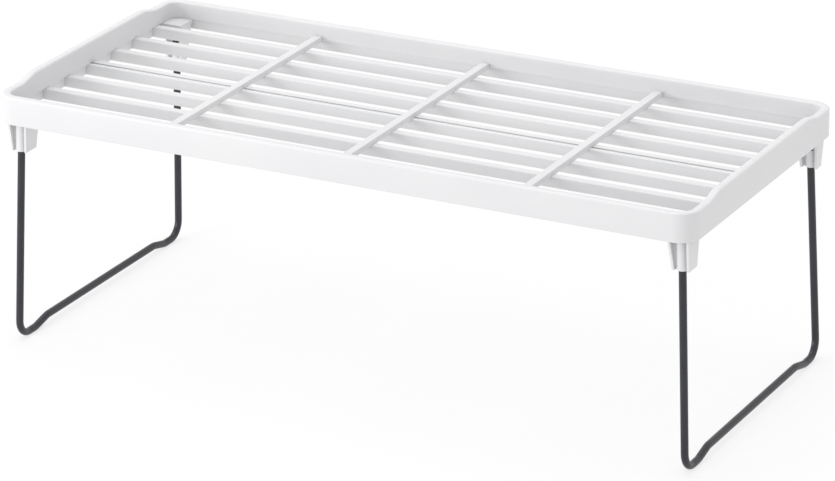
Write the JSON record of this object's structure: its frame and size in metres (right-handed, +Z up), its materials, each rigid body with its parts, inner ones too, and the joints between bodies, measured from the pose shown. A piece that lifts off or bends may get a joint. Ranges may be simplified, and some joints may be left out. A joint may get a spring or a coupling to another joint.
{
  "type": "shelf riser",
  "caption": "Free-standing kitchen shelf riser: a slatted moulded tray with a raised rim on two plug-in bent-wire legs.",
  "frame": {"origin": "on the floor, under the middle of the tray, level with the lowest point of the wire legs", "axes": "+X along the tray's length, +Y from the front to the back, +Z up"},
  "size_m": [0.44, 0.2, 0.158],
  "materials": {
    "white_plastic": "smooth satin injection-moulded white plastic",
    "coated_wire": "dark grey powder-coated steel wire, satin"
  },
  "bodies": {
    "tray": {"front_wall": "white_plastic", "back_wall": "white_plastic", "left_end_wall": "white_plastic", "right_end_wall": "white_plastic", "front_left_corner": "white_plastic", "front_right_corner": "white_plastic", "back_left_corner": "white_plastic", "back_right_corner": "white_plastic", "front_slat": "white_plastic", "second_slat": "white_plastic", "third_slat": "white_plastic", "centre_slat": "white_plastic", "fifth_slat": "white_plastic", "sixth_slat": "white_plastic", "back_slat": "white_plastic", "left_crossbar": "white_plastic", "middle_crossbar": "white_plastic", "right_crossbar": "white_plastic", "front_left_plate": "white_plastic", "front_right_plate": "white_plastic", "back_left_plate": "white_plastic", "back_right_plate": "white_plastic", "front_left_socket": "white_plastic", "front_right_socket": "white_plastic", "back_left_socket": "white_plastic", "back_right_socket": "white_plastic"},
    "left_leg": {"left_leg": "coated_wire"},
    "right_leg": {"right_leg": "coated_wire"}
  },
  "joints": [
    {"name": "left_leg_pull_out", "type": "slide", "parent": "tray", "child": "left_leg", "axis": [-0.0401, 0, -0.9992], "range_m": [0, 0.025]},
    {"name": "right_leg_pull_out", "type": "slide", "parent": "tray", "child": "right_leg", "axis": [0.0401, 0, -0.9992], "range_m": [0, 0.025]}
  ]
}
